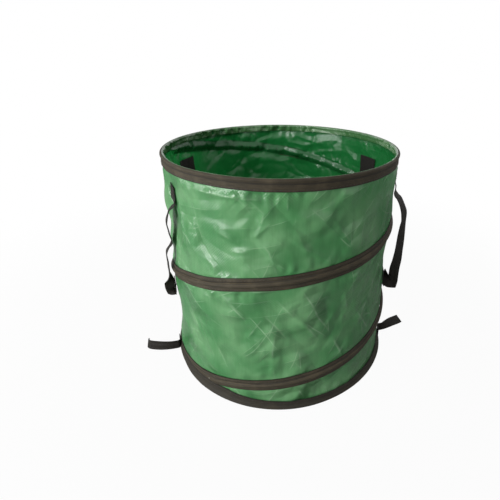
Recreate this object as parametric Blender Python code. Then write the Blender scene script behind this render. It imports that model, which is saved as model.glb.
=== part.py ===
import bpy
import bmesh
import math
from mathutils import Vector

for leftover in list(bpy.data.objects):
    bpy.data.objects.remove(leftover, do_unlink=True)

# Pop up leaf bag standing open. Metres, +Z up, front is -Y.
# Origin: middle of the base, on the ground. Angles in degrees from +X, towards +Y.
bag_height = 0.432
hoop_radius = 0.2216
gap = 0.0003

# cloth and binding tape
cloth = 0.0012
tape = 0.0009
rim_band = 0.0195
rim_hem_depth = 0.0150
base_band = 0.0160
seam_leg = 0.0080
coil_band = 0.0250
waist_depth = 0.0065
waist_span = 0.2100

# spring wire and its crimped sleeves
wire_radius = 0.0014
sleeve_wall = 0.0004
sleeve_length = 0.0160
tip_length = 0.0120

# carrying handles, closing straps and the pads they need
webbing_width = 0.0200
webbing = 0.0014
handle_stand = 0.0060
right_bow = 0.0250
left_bow = 0.0120
strap_length = 0.0500
strap_lift = 0.0005
pad_length = 0.0240
pad_width = 0.0160
pad = 0.0012
patch_height = 0.0480
patch = 0.0010

# handles: where the lower sewn end sits, then the upper one
right_handle_angles = (-8.0, -8.0)
left_handle_angles = (198.0, 213.0)
sleeve_angle = 200.0
right_strap_angle = -5.0
left_strap_angle = 200.0
right_strap_heading = 17.5
left_strap_heading = 180.0
right_patch_angles = (19.0, 32.0)
left_patch_angles = (153.0, 167.0)

# heights up the bag
tab_top_share = 0.900
tab_low_share = 0.853
handle_top_share = 0.835
lower_tab_top_share = 0.400
lower_tab_low_share = 0.333
handle_low_share = 0.315
patch_top_share = 0.885

# middle of the coil, every eighth of a turn down from the left of the rim
coil_height_shares = (0.965, 0.909, 0.852, 0.768, 0.700, 0.651, 0.608, 0.528, 0.432,
                      0.385, 0.350, 0.312, 0.268, 0.197, 0.1275, 0.0475, 0.000)
coil_eighth = math.tau / 8

# handle loops: out from the hinge line by the bow, up by the hinge line's length
right_loop_shares = ((0, 1), (0.03, 0.970), (0.24, 0.922), (0.68, 0.827), (0.97, 0.700), (1, 0.548),
                     (0.97, 0.356), (0.87, 0.183), (0.76, 0.029), (0.52, -0.060), (0.16, -0.058),
                     (0, -0.018), (0, 0))
left_loop_shares = ((0, 1), (0.03, 0.960), (0.25, 0.905), (0.66, 0.830), (0.62, 0.715), (0.34, 0.630),
                    (0.66, 0.560), (0.97, 0.490), (1, 0.400), (0.86, 0.281), (0.80, 0.210), (0.86, 0.130),
                    (0.84, 0.055), (0.62, 0.000), (0.30, -0.016), (0.08, -0.012), (0, -0.006), (0, 0))
loop_steps = 3

columns = 40
column_step = math.tau / columns
wall_rows = 24
coil_first_column = 3
coil_last_column = 75
wire_sides = 6
sleeve_sides = 10

pocket = wire_radius + gap + sleeve_wall + gap
sleeve_radius = wire_radius + gap + sleeve_wall
wall_outside = cloth / 2 + gap
rim_wire_height = bag_height - tape - pocket
base_wire_height = tape + pocket
wall_top = rim_wire_height - pocket
wall_bottom = base_wire_height + pocket
panel_radius = hoop_radius - (pocket + tape) * math.tan(math.pi / 8) - gap


def smooth_value(values, place):
    # smooth curve through evenly spaced values
    last = len(values) - 1
    place = min(max(place, 0.0), float(last))
    start = min(int(place), last - 1)
    t = place - start
    a = values[max(start - 1, 0)]
    b = values[start]
    c = values[start + 1]
    d = values[min(start + 2, last)]
    curve = 2 * b + (c - a) * t + (2 * a - 5 * b + 4 * c - d) * t * t + (3 * b - a - 3 * c + d) * t ** 3
    return curve / 2


def coil_height(turned):
    return bag_height * smooth_value(coil_height_shares, turned / coil_eighth)


def waist(angle, height):
    # between two rounds of wire the cloth is drawn in, most where they stand far apart
    turned = (math.pi - angle) % math.tau
    levels = (0, coil_height(turned + math.tau), coil_height(turned), bag_height)
    for low, high in zip(levels, levels[1:]):
        if low <= height <= high and high > low:
            span = high - low
            drawn = waist_depth * (span / waist_span) ** 2
            return drawn * math.sin(math.pi * (height - low) / span) ** 2
    return 0.0


def cloth_radius(angle, height):
    return hoop_radius - waist(angle, height)


def facet_factor(angle):
    # every round piece shares the same flat panels, so a point between columns lies on the chord
    offset = angle % column_step - column_step / 2
    return math.cos(column_step / 2) / math.cos(offset)


def columns_between(first, last):
    angles = [first]
    number = math.floor(first / column_step) + 1
    while number * column_step < last - column_step / columns:
        if number * column_step > first + column_step / columns:
            angles.append(number * column_step)
        number += 1
    angles.append(last)
    return angles


def coat(piece, name, colour, roughness, metallic=0.0):
    material = bpy.data.materials.get(name)
    if material is None:
        material = bpy.data.materials.new(name)
        material.use_nodes = True
        shader = material.node_tree.nodes["Principled BSDF"]
        shader.inputs["Base Color"].default_value = (*colour, 1.0)
        shader.inputs["Roughness"].default_value = roughness
        shader.inputs["Metallic"].default_value = metallic
    piece.data.materials.append(material)


def green_cloth(piece):
    coat(piece, "woven polyethylene, green", (0.055, 0.25, 0.105), 0.42)


def brown_tape(piece):
    coat(piece, "polypropylene tape, brown black", (0.055, 0.042, 0.032), 0.75)


def black_webbing(piece):
    coat(piece, "polypropylene webbing, black", (0.022, 0.020, 0.014), 0.8)


def spring_steel(piece):
    coat(piece, "spring steel wire", (0.50, 0.50, 0.48), 0.35, 1.0)


def crimp_steel(piece):
    coat(piece, "zinc plated crimp", (0.62, 0.61, 0.58), 0.4, 1.0)


def hook_pile(piece):
    coat(piece, "hook and loop nylon, black", (0.016, 0.015, 0.014), 0.95)


def empty_at(name, place, turn=0.0):
    holder = bpy.data.objects.new(name, None)
    holder.location = place
    holder.rotation_euler = (0.0, 0.0, turn)
    bpy.context.scene.collection.objects.link(holder)
    return holder


def finish(name, shape, holder, smooth=True):
    bmesh.ops.recalc_face_normals(shape, faces=shape.faces)
    mesh = bpy.data.meshes.new(name)
    shape.to_mesh(mesh)
    shape.free()
    piece = bpy.data.objects.new(name, mesh)
    bpy.context.scene.collection.objects.link(piece)
    if holder is not None:
        piece.parent = holder
    if smooth:
        mesh.shade_smooth()
        mesh.set_sharp_from_angle(angle=math.radians(38))
    return piece


def sweep(name, rounds, closed, holder=None, drop=0.0):
    # rounds: (angle, outline) pairs, each outline a list of (radius, height)
    shape = bmesh.new()
    rings = []
    for angle, outline in rounds:
        factor = facet_factor(angle)
        ring = []
        for radius, height in outline:
            reach = radius * factor
            ring.append(shape.verts.new((reach * math.cos(angle), reach * math.sin(angle), height - drop)))
        rings.append(ring)
    pairs = list(zip(rings, rings[1:]))
    if closed:
        pairs.append((rings[-1], rings[0]))
    for ring, following in pairs:
        for k in range(len(ring)):
            n = (k + 1) % len(ring)
            shape.faces.new((ring[k], ring[n], following[n], following[k]))
    if not closed:
        shape.faces.new(rings[0])
        shape.faces.new(list(reversed(rings[-1])))
    return finish(name, shape, holder)


def whole_round(outline_at):
    return [(k * column_step, outline_at(k * column_step)) for k in range(columns)]


def wire_outline(radius, height):
    outline = []
    for k in range(wire_sides):
        a = math.tau * k / wire_sides
        outline.append((radius + wire_radius * math.cos(a), height + wire_radius * math.sin(a)))
    return outline


def arc(reach, first, last, steps):
    # corners outside the circle, so that every flat stays at its reach
    spread = (last - first) / steps
    corner = reach / math.cos(spread / 2)
    return [(corner * math.cos(first + spread * k), corner * math.sin(first + spread * k))
            for k in range(steps + 1)]


def plate(name, outline, half, holder, smooth=False):
    # outline in local X and Z, as thick as twice half along local Y
    shape = bmesh.new()
    near = [shape.verts.new((x, -half, z)) for x, z in outline]
    far = [shape.verts.new((x, half, z)) for x, z in outline]
    shape.faces.new(near)
    shape.faces.new(list(reversed(far)))
    for k in range(len(outline)):
        n = (k + 1) % len(outline)
        shape.faces.new((near[k], near[n], far[n], far[k]))
    return finish(name, shape, holder, smooth)


# Rim: tape folded over the hoop from outside, cloth hem turned over it from inside.
rim_slide = empty_at("rim_slide", (0.0, 0.0, bag_height))
eighth = math.pi / 8
shoulder = pocket + tape


def folded_tape(side, leg, first, last, steps, drawn=0.0):
    # a leg beside the cloth, then round the wire's pocket; side 1 is outside, -1 inside
    # drawn is how far the cloth has moved in where the leg ends
    outer = [(side * (wall_outside + tape) - drawn, -leg), (side * (wall_outside + tape), -shoulder)]
    inner = [(side * wall_outside - drawn, -leg), (side * wall_outside, -shoulder)]
    for x, z in arc(pocket + tape, first, last, steps):
        outer.append((side * x, z))
    for x, z in arc(pocket, first, last, steps):
        inner.append((side * x, z))
    return outer + list(reversed(inner))


rim_leg = rim_band - tape - pocket
hem_leg = rim_hem_depth - tape - pocket
fold_gap = 2 * gap / pocket
rim_tape = folded_tape(1, rim_leg, -eighth, 5 * eighth, 3)


def on_rim(outline):
    return [(hoop_radius + x, rim_wire_height + z) for x, z in outline]


def hem_outline(angle):
    drawn = waist(angle, rim_wire_height - hem_leg)
    return on_rim(folded_tape(-1, hem_leg, -eighth, 3 * eighth - fold_gap, 2, drawn))


brown_tape(sweep("rim_binding", whole_round(lambda a: on_rim(rim_tape)), True, rim_slide, bag_height))
green_cloth(sweep("rim_hem", whole_round(hem_outline), True, rim_slide, bag_height))
rim_wire = wire_outline(hoop_radius, rim_wire_height)
spring_steel(sweep("rim_hoop_wire", whole_round(lambda a: rim_wire), True, rim_slide, bag_height))


# Side wall: one tube of cloth, drawn in between the rounds of wire.
def wall_outline(angle):
    heights = [wall_bottom + (wall_top - wall_bottom) * k / wall_rows for k in range(wall_rows + 1)]
    outside = [(cloth_radius(angle, z) + cloth / 2, z) for z in heights]
    inside = [(cloth_radius(angle, z) - cloth / 2, z) for z in reversed(heights)]
    return outside + inside


green_cloth(sweep("side_wall", whole_round(wall_outline), True))


# Base: cloth disc, hoop in its pocket of tape, and a tape over the seam inside.
def base_panel():
    shape = bmesh.new()
    low = []
    high = []
    for k in range(columns):
        x = panel_radius * math.cos(k * column_step)
        y = panel_radius * math.sin(k * column_step)
        low.append(shape.verts.new((x, y, 0.0)))
        high.append(shape.verts.new((x, y, cloth)))
    shape.faces.new(list(reversed(low)))
    shape.faces.new(high)
    for k in range(columns):
        n = (k + 1) % columns
        shape.faces.new((low[k], low[n], high[n], high[k]))
    return finish("base_panel", shape, None)


green_cloth(base_panel())


def on_base(outline):
    return [(hoop_radius + x, base_wire_height - z) for x, z in outline]


base_leg = base_band - tape - pocket
base_tape = folded_tape(1, base_leg, -eighth, 5 * eighth, 3)
brown_tape(sweep("base_binding", whole_round(lambda a: on_base(base_tape)), True))
base_wire = wire_outline(hoop_radius, base_wire_height)
spring_steel(sweep("base_hoop_wire", whole_round(lambda a: base_wire), True))

seam_floor = cloth + gap
seam_inside = hoop_radius - wall_outside
seam_round = hoop_radius - pocket
seam_shoulder = base_wire_height + shoulder
seam_low = base_wire_height + pocket * math.tan(eighth)


def seam_outline(angle):
    top = seam_shoulder + seam_leg
    inside = seam_inside - waist(angle, top)
    return [
        (inside, top),
        (seam_inside, seam_shoulder),
        (seam_round, seam_low),
        (seam_round, seam_floor),
        (seam_round - tape - seam_leg, seam_floor),
        (seam_round - tape - seam_leg, seam_floor + tape),
        (seam_round - tape, seam_floor + tape),
        (seam_round - tape, seam_low + tape * math.tan(eighth)),
        (seam_inside - tape, seam_shoulder),
        (inside - tape, top),
    ]


brown_tape(sweep("base_seam_tape", whole_round(seam_outline), True))

# Coil: two rounds of wire under a tape sewn to the outside of the wall.
coil_edge_low = base_band + gap
coil_edge_high = bag_height - rim_band - gap
wire_stand = pocket - gap
pocket_lean = math.radians(67)
top_half = pocket * math.tan(pocket_lean / 2)
cavity_half = (pocket + wire_stand * math.cos(pocket_lean)) / math.sin(pocket_lean)
crown = pocket + tape
crown_half = crown * math.tan(pocket_lean / 2)
bulge_half = (crown + (wire_stand - tape) * math.cos(pocket_lean)) / math.sin(pocket_lean)


def coil_angle(turned):
    return math.pi - turned


def coil_middle(turned):
    height = coil_height(turned)
    return cloth_radius(coil_angle(turned), height) + wall_outside + wire_stand, height


def coil_outline(turned):
    angle = coil_angle(turned)
    radius, height = coil_middle(turned)
    high = min(height + coil_band / 2, coil_edge_high)
    low = max(height - coil_band / 2, coil_edge_low)

    def beside(z):
        return cloth_radius(angle, z) + wall_outside

    return [
        (beside(low) + tape, low),
        (beside(height - bulge_half) + tape, height - bulge_half),
        (radius + crown, height - crown_half),
        (radius + crown, height + crown_half),
        (beside(height + bulge_half) + tape, height + bulge_half),
        (beside(high) + tape, high),
        (beside(high), high),
        (beside(height + cavity_half), height + cavity_half),
        (radius + pocket, height + top_half),
        (radius + pocket, height - top_half),
        (beside(height - cavity_half), height - cavity_half),
        (beside(low), low),
    ]


coil_turns = [k * column_step for k in range(coil_first_column, coil_last_column + 1)]
coil_rounds = [(coil_angle(t), coil_outline(t)) for t in coil_turns]
brown_tape(sweep("coil_tape", coil_rounds, False))
wire_rounds = [(coil_angle(t), wire_outline(*coil_middle(t))) for t in coil_turns[1:-1]]
spring_steel(sweep("coil_spring_wire", wire_rounds, False))


# Crimped sleeves: one closes each hoop, one caps each end of the coil's wire.
def tube_ring(shape, x, radius):
    corner = radius / math.cos(math.pi / sleeve_sides)
    ring = []
    for k in range(sleeve_sides):
        a = math.tau * k / sleeve_sides
        ring.append(shape.verts.new((x, corner * math.cos(a), corner * math.sin(a))))
    return ring


def bridge(shape, ring, following):
    for k in range(len(ring)):
        n = (k + 1) % len(ring)
        shape.faces.new((ring[k], ring[n], following[n], following[k]))


def sleeve(name, middle, along, holder, length, capped):
    shape = bmesh.new()
    start = -length / 2
    outer_a = tube_ring(shape, start, sleeve_radius)
    outer_b = tube_ring(shape, start + length, sleeve_radius)
    bore_b = tube_ring(shape, start + length, wire_radius + gap)
    bore_a = tube_ring(shape, start + (sleeve_wall if capped else 0.0), wire_radius + gap)
    bridge(shape, outer_a, outer_b)
    bridge(shape, outer_b, bore_b)
    bridge(shape, bore_b, bore_a)
    if capped:
        shape.faces.new(bore_a)
        shape.faces.new(outer_a)
    else:
        bridge(shape, bore_a, outer_a)
    piece = finish(name, shape, holder)
    piece.location = middle
    piece.rotation_mode = "QUATERNION"
    piece.rotation_quaternion = along.to_track_quat("X", "Z")
    crimp_steel(piece)
    return piece


def on_round(angle, radius, height):
    reach = radius * facet_factor(angle)
    return Vector((reach * math.cos(angle), reach * math.sin(angle), height))


seam_column = math.radians(sleeve_angle) // column_step * column_step
seam_middle = seam_column + column_step / 2
seam_along = Vector((-math.sin(seam_middle), math.cos(seam_middle), 0.0))
base_sleeve_place = on_round(seam_middle, hoop_radius, base_wire_height)
rim_sleeve_place = on_round(seam_middle, hoop_radius, rim_wire_height - bag_height)
sleeve("base_hoop_sleeve", base_sleeve_place, seam_along, None, sleeve_length, False)
sleeve("rim_hoop_sleeve", rim_sleeve_place, seam_along, rim_slide, sleeve_length, False)


def wire_tip(name, end_turn, next_turn):
    end = on_round(coil_angle(end_turn), *coil_middle(end_turn))
    following = on_round(coil_angle(next_turn), *coil_middle(next_turn))
    along = (following - end).normalized()
    middle = end + along * (tip_length / 2 - gap - sleeve_wall)
    sleeve(name, middle, along, None, tip_length, True)


wire_tip("coil_tip_upper", coil_turns[1], coil_turns[2])
wire_tip("coil_tip_lower", coil_turns[-2], coil_turns[-3])


# Pads sewn flat on the inside of the wall for the closing straps.
def closure_patch(name, first, last):
    top = bag_height * patch_top_share
    heights = [top - patch_height * k / 3 for k in range(4)]
    rounds = []
    for angle in columns_between(math.radians(first), math.radians(last)):
        face = [(cloth_radius(angle, z) - wall_outside, z) for z in heights]
        back = [(cloth_radius(angle, z) - wall_outside - patch, z) for z in reversed(heights)]
        rounds.append((angle, face + back))
    hook_pile(sweep(name, rounds, False))


closure_patch("closure_patch_right", *right_patch_angles)
closure_patch("closure_patch_left", *left_patch_angles)

# Handles: webbing loops on a hinge line beside the wall, between two sewn ends.
handle_top = bag_height * handle_top_share
handle_low = bag_height * handle_low_share


def hinge_reach(degrees, share):
    return cloth_radius(math.radians(degrees), bag_height * share) + cloth / 2 + handle_stand


def sewn_end(name, degrees, high, low, end, line, lean):
    # flat against the wall from high to low, then out to the hinge line at end
    middle = math.radians(degrees)
    spread = webbing_width / 2 / hoop_radius
    rounds = []
    for angle in columns_between(middle - spread, middle + spread):
        flat = [high + (low - high) * k / 2 for k in range(3)]
        inner = [(cloth_radius(angle, z) + wall_outside, z) for z in flat]
        outer = [(cloth_radius(angle, z) + wall_outside + webbing, z) for z in flat]
        square_end = end - math.tan(lean) * line * (angle - middle)
        inner.append((line - webbing / 2, square_end))
        outer.append((line + webbing / 2, square_end))
        outer[-2] = (outer[-2][0], low + webbing / 2)
        rounds.append((angle, inner + list(reversed(outer))))
    black_webbing(sweep(name, rounds, False))


def loop_path(shares, bow, length):
    out_values = [bow * out for out, up in shares]
    up_values = [length * up for out, up in shares]
    count = (len(shares) - 1) * loop_steps
    return [(smooth_value(out_values, k / loop_steps), smooth_value(up_values, k / loop_steps))
            for k in range(count + 1)]


def strip_outline(path, thick):
    one_side = []
    other_side = []
    for k, (x, z) in enumerate(path):
        before = path[max(k - 1, 0)]
        after = path[min(k + 1, len(path) - 1)]
        across = after[0] - before[0] if 0 < k < len(path) - 1 else 0.0
        run = Vector((across, after[1] - before[1])).normalized()
        one_side.append((x - run.y * thick / 2, z + run.x * thick / 2))
        other_side.append((x + run.y * thick / 2, z - run.x * thick / 2))
    return one_side + list(reversed(other_side))


def handle(side, angles, shares, bow):
    # the hinge line runs straight from the lower sewn end to the upper one, leaning with the angles
    below, above = angles
    line = max(hinge_reach(below, lower_tab_low_share), hinge_reach(above, tab_low_share))
    start = handle_low - gap
    rise = handle_top - gap - start
    outward = math.radians((below + above) / 2)
    half_turn = math.radians((above - below) / 2)
    lean = math.atan2(2 * line * math.sin(half_turn), rise)
    place = (line * math.cos(math.radians(below)), line * math.sin(math.radians(below)), start)
    hinge = empty_at("handle_hinge_" + side, place, outward)
    hinge.rotation_euler.x = -lean
    path = loop_path(shares, bow, rise / math.cos(lean))
    black_webbing(plate("handle_" + side, strip_outline(path, webbing), webbing_width / 2, hinge, True))
    high = bag_height * tab_top_share
    low = bag_height * tab_low_share
    sewn_end("handle_tab_upper_" + side, above, high, low, handle_top, line, lean)
    high = bag_height * lower_tab_top_share
    low = bag_height * lower_tab_low_share
    sewn_end("handle_tab_lower_" + side, below, high, low, handle_low, line, lean)


handle("right", right_handle_angles, right_loop_shares, right_bow)
handle("left", left_handle_angles, left_loop_shares, left_bow)

# Closing straps: webbing on its edge, hinged at a sewn root on the base band.
band_face = hoop_radius + pocket + tape
strap_middle_height = strap_lift + webbing_width / 2
strap_end_steps = 8


def strap(side, degrees, heading):
    middle = math.radians(degrees)
    root_inner = band_face + gap
    root_outer = root_inner + webbing
    root_place = (root_inner * math.cos(middle), root_inner * math.sin(middle), strap_middle_height)
    root = empty_at("strap_root_" + side, root_place, middle)
    half = webbing_width / 2
    face = [(0.0, -half), (webbing, -half), (webbing, half), (0.0, half)]
    black_webbing(plate("strap_tab_" + side, face, half, root))
    slant = abs(middle - math.radians(heading))
    reach = root_outer + gap + half * math.cos(slant) + webbing / 2 * math.sin(slant)
    hinge_place = (reach * math.cos(middle), reach * math.sin(middle), strap_middle_height)
    hinge = empty_at("strap_hinge_" + side, hinge_place, math.radians(heading))
    outline = [(strap_length, -half), (strap_length, half)]
    for k in range(strap_end_steps + 1):
        a = math.pi / 2 + math.pi * k / strap_end_steps
        outline.append((half * math.cos(a), half * math.sin(a)))
    black_webbing(plate("closing_strap_" + side, outline, webbing / 2, hinge))
    back = 1 if side == "right" else -1
    pad_holder = empty_at("strap_pad_place_" + side, (0.0, 0.0, 0.0))
    pad_holder.parent = hinge
    pad_holder.location = (strap_length - pad_length, back * (webbing / 2 + gap + pad / 2), 0.0)
    pad_end = pad_length - gap
    square = [(0.0, -pad_width / 2), (pad_end, -pad_width / 2), (pad_end, pad_width / 2), (0.0, pad_width / 2)]
    hook_pile(plate("strap_hook_pad_" + side, square, pad / 2, pad_holder))


strap("right", right_strap_angle, right_strap_heading)
strap("left", left_strap_angle, left_strap_heading)

bpy.context.view_layer.update()
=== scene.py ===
import math
from functools import partial, reduce

import bmesh
import bpy
import numpy as np
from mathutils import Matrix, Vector


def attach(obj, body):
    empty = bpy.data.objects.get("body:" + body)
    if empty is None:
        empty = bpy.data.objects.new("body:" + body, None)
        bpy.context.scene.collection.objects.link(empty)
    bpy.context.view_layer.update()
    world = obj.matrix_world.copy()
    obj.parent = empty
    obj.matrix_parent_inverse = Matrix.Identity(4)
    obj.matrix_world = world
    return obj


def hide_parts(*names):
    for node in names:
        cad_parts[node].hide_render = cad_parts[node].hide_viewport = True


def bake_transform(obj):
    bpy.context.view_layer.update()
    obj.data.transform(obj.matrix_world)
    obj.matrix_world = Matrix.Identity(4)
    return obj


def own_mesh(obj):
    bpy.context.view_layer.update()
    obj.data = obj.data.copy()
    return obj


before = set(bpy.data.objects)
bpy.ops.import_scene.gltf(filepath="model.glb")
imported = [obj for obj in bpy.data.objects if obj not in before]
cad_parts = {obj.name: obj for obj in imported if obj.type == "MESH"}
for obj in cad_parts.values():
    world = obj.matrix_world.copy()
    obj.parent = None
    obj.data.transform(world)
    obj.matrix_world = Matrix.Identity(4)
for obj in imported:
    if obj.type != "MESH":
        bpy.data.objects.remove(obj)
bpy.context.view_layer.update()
print("frame loaded:", len(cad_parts), "CAD nodes")

fullTurn = 2 * math.pi

# the bag as the CAD holds it, in metres
bag = {
    "height": 0.432,
    "hoopRadius": 0.2216,      # middle of the cloth, where a wire holds it out
    "pocket": 0.0024,          # from a wire's middle to the inside of its pocket
    "tape": 0.0009,
    "outside": 0.0009,         # from the middle of the cloth to what lies on it
    "clearance": 0.0003,
    "rimBand": 0.0195,
    "baseBand": 0.016,
    "wallLow": 0.0057,
    "wallHigh": 0.4263,
    "waistDepth": 0.0065,
    "waistSpan": 0.21,
}
hoop = bag["hoopRadius"]
tapeFace = hoop + bag["outside"] + bag["tape"]
rimWireHeight = bag["height"] - bag["tape"] - bag["pocket"]
baseWireHeight = bag["tape"] + bag["pocket"]

# middle of the coil as shares of the height, every eighth of a turn down from the left of the rim
coil = {
    "heights": (0.965, 0.909, 0.852, 0.768, 0.700, 0.651, 0.608, 0.528, 0.432,
                0.385, 0.350, 0.312, 0.268, 0.197, 0.1275, 0.0475, 0.0),
    "first": math.radians(8),
    "last": math.radians(706),
    "wireFirst": math.radians(36),
    "wireLast": math.radians(666),
    "band": 0.025,
    "steps": 760,
    "ridgeHalf": 0.0048,
    "ridgeHeight": 0.0040,
    "wireRadius": 0.0014,
    # across the tape, as shares of half its width
    "rows": [0.05, 0.13, 0.22, 0.29, 0.36, 0.41, 0.46, 0.55, 0.72, 0.9, 0.97, 1],
    "edgeDrop": 0.0004,        # its edges are pulled down on the cloth
    "shoulder": 0.0004,        # dip beside the ridge
    "ridgeBeyond": math.radians(10),# the ridge runs on past the wire's ends
    "ridgeFade": math.radians(16),
    "narrowing": 0.12,         # share of its width that the tape loses near its lower end
    "narrowFrom": math.radians(590),
    "narrowOver": math.radians(80),
    "squeeze": 0.02,           # share of its width that is left where a band cuts it off
}


def clamp(value):
    return np.clip(value, 0, 1)


def smoothValue(values, place):
    # smooth curve through evenly spaced values
    values = np.asarray(values, float)
    last = len(values) - 1
    place = np.clip(np.asarray(place, float), 0, last)
    start = np.minimum(place.astype(int), last - 1)
    t = place - start
    a = values[np.maximum(start - 1, 0)]
    b = values[start]
    c = values[start + 1]
    d = values[np.minimum(start + 2, last)]
    return (2 * b + (c - a) * t + (2 * a - 5 * b + 4 * c - d) * t ** 2 + (3 * b - a - 3 * c + d) * t ** 3) / 2


def coilHeight(turned):
    return bag["height"] * smoothValue(coil["heights"], np.asarray(turned) / (fullTurn / 8))


def smoothStep(value):
    value = clamp(value)
    return value * value * (3 - 2 * value)


def waist(angle, height):
    # between two rounds of wire the cloth is drawn in, most where they stand far apart
    angle, height = np.broadcast_arrays(angle, height)
    turned = np.mod(math.pi - angle, fullTurn)
    levels = [np.zeros_like(angle), coilHeight(turned + fullTurn), coilHeight(turned),
              np.full_like(angle, bag["height"])]
    drawn = np.zeros_like(angle)
    for low, high in zip(levels, levels[1:]):
        span = np.maximum(high - low, 1e-6)
        between = (height >= low) & (height <= high)
        depth = bag["waistDepth"] * (span / bag["waistSpan"]) ** 2
        wave = np.sin(math.pi * clamp((height - low) / span)) ** 2
        drawn = np.where(between, depth * wave, drawn)
    return drawn


def coilGap(angle, height):
    # how far above or below the middle of the nearest round of coil a point is
    turned = np.mod(math.pi - angle, fullTurn)
    nearest = np.full(np.shape(height), 9.0)
    for extra in (0, fullTurn):
        turn = turned + extra
        beside = height - coilHeight(turn)
        past = np.maximum(coil["first"] - turn, turn - coil["last"]) * hoop
        away = np.hypot(beside, np.maximum(past, 0) * 1.2)
        nearest = np.where(away < np.abs(nearest), np.where(beside < 0, -away, away), nearest)
    return nearest


def onRound(angle, radius, height):
    return np.stack(np.broadcast_arrays(radius * np.cos(angle), radius * np.sin(angle), height), -1)


def angleFrom(angle, degrees):
    # signed distance round the bag in degrees
    return np.mod(np.degrees(angle) - degrees + 180, 360) - 180


def ripple(points, seed, length, count=9):
    # soft undulation, about one unit high, that joins up round the bag
    rng = np.random.default_rng(seed)
    ways = rng.normal(size=(3, count))
    ways /= np.linalg.norm(ways, axis=0)
    ways *= fullTurn / (length * rng.uniform(0.7, 1.5, count))
    return np.cos(points @ ways + rng.uniform(0, fullTurn, count)).sum(-1) / math.sqrt(count)


def folds(points, seed, length, count=5):
    # flat facets with sharp folds between them, in many directions, as in crumpled film
    rng = np.random.default_rng(seed)
    bent = points + 0.16 * length * np.stack([ripple(points, seed + k, length * 2.0) for k in (1, 2, 3)], -1)
    total = 0
    for k in range(count):
        way = rng.normal(size=3)
        way /= np.linalg.norm(way) * length * rng.uniform(0.8, 1.5)
        phase = bent @ way + rng.uniform(0, 1)
        edge = np.abs(phase - np.floor(phase) - 0.5) * 4 - 1
        total = total + edge * np.clip(0.45 + 0.75 * ripple(points, seed + 11 * k, length * 2.2), 0, 1.3)
    return total / math.sqrt(count)


# creases seen on the front: places as (degrees, share of height), ridge height and widths either side in mm
seenCreases = [
    ([(231, 0.86), (233, 0.77), (235, 0.715), (238, 0.677), (243, 0.645), (247, 0.60)], -4.0, 2.0, 5.0),
    ([(236, 0.66), (240, 0.60), (246, 0.57)], -1.8, 4.0, 4.0),
    ([(233, 0.932), (249, 0.928), (262, 0.924)], 4.4, 4.5, 5.0),
    ([(257, 0.93), (264, 0.876), (263, 0.831), (261, 0.785), (266, 0.726), (269, 0.64)], 3.2, 14.0, 6.5),
    ([(243, 0.785), (253, 0.76)], 3.2, 4.5, 5.0),
    ([(266, 0.835), (260, 0.78)], 2.2, 3.5, 4.5),
    ([(251, 0.715), (258, 0.725)], 2.8, 4.0, 4.0),
    ([(272, 0.80), (281, 0.735), (290, 0.68)], 1.5, 4.5, 3.5),
    ([(266, 0.705), (273, 0.66)], 1.4, 4.0, 4.0),
    ([(276, 0.82), (281, 0.72)], 1.3, 4.5, 4.5),
    ([(291, 0.85), (300, 0.745)], 1.3, 5.0, 4.5),
    ([(270, 0.94), (269, 0.90)], 1.2, 3.0, 3.0),
    ([(273, 0.94), (273, 0.89)], 1.1, 3.0, 3.0),
    ([(222, 0.92), (219, 0.80), (221, 0.70), (216, 0.60)], 2.0, 6.0, 5.0),
    ([(214, 0.80), (221, 0.74)], 1.6, 4.0, 4.0),
    ([(213, 0.68), (222, 0.60)], 1.7, 5.0, 4.0),
    ([(244, 0.53), (249, 0.49), (254, 0.445)], 2.2, 3.5, 4.5),
    ([(268, 0.345), (267, 0.28), (268, 0.16)], 3.2, 17.0, 5.0),
    ([(262, 0.424), (256, 0.34), (261, 0.32)], 1.8, 5.0, 4.5),
    ([(264, 0.44), (273, 0.343)], -2.0, 4.5, 4.5),
    ([(269, 0.527), (282, 0.381)], 1.5, 4.0, 3.5),
    ([(275, 0.481), (288, 0.32)], 1.5, 4.0, 3.5),
    ([(216, 0.37), (228, 0.25)], 1.4, 3.5, 3.5),
    ([(221, 0.35), (232, 0.22)], 1.2, 3.5, 3.5),
    ([(227, 0.35), (237, 0.186)], 1.5, 3.5, 3.5),
    ([(234, 0.33), (245, 0.165)], 1.4, 4.0, 3.5),
    ([(308, 0.41), (317, 0.28), (326, 0.12)], 1.5, 5.0, 5.0),
    ([(299, 0.534), (303, 0.42)], 1.2, 5.0, 4.0),
    ([(321, 0.69), (334, 0.587)], 1.4, 5.0, 5.0),
    ([(296, 0.30), (301, 0.20)], 1.2, 4.0, 4.0),
    ([(206, 0.88), (211, 0.81), (213, 0.74)], -3.0, 3.0, 3.0),
    ([(207, 0.70), (210, 0.62)], -2.6, 3.0, 3.0),
    ([(196, 0.95), (199, 0.87)], 1.6, 4.0, 4.0),
    # on the far side, seen from inside above and below the coil
    ([(62, 0.905), (73, 0.885), (84, 0.90)], -2.6, 4.0, 5.0),
    ([(52, 0.87), (66, 0.85)], -2.2, 4.0, 4.0),
    ([(95, 0.93), (104, 0.90)], -1.6, 4.0, 4.0),
    ([(96, 0.72), (104, 0.65), (110, 0.60)], -1.6, 4.0, 5.0),
    ([(80, 0.70), (90, 0.63)], -1.6, 4.0, 4.0),
]


# the sides that the front view doesn't show get creases of the same kinds
farCreases = {
    "count": 66,
    "angles": (-42, 205),      # degrees round the bag
    "heights": (0.08, 0.93),   # shares of the height
    "length": (0.03, 0.11),    # metres
    "depth": (0.8, 2.6),       # mm, as are the widths to its left and right
    "left": (3.5, 9),
    "right": (3.5, 5.5),
}


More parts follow.
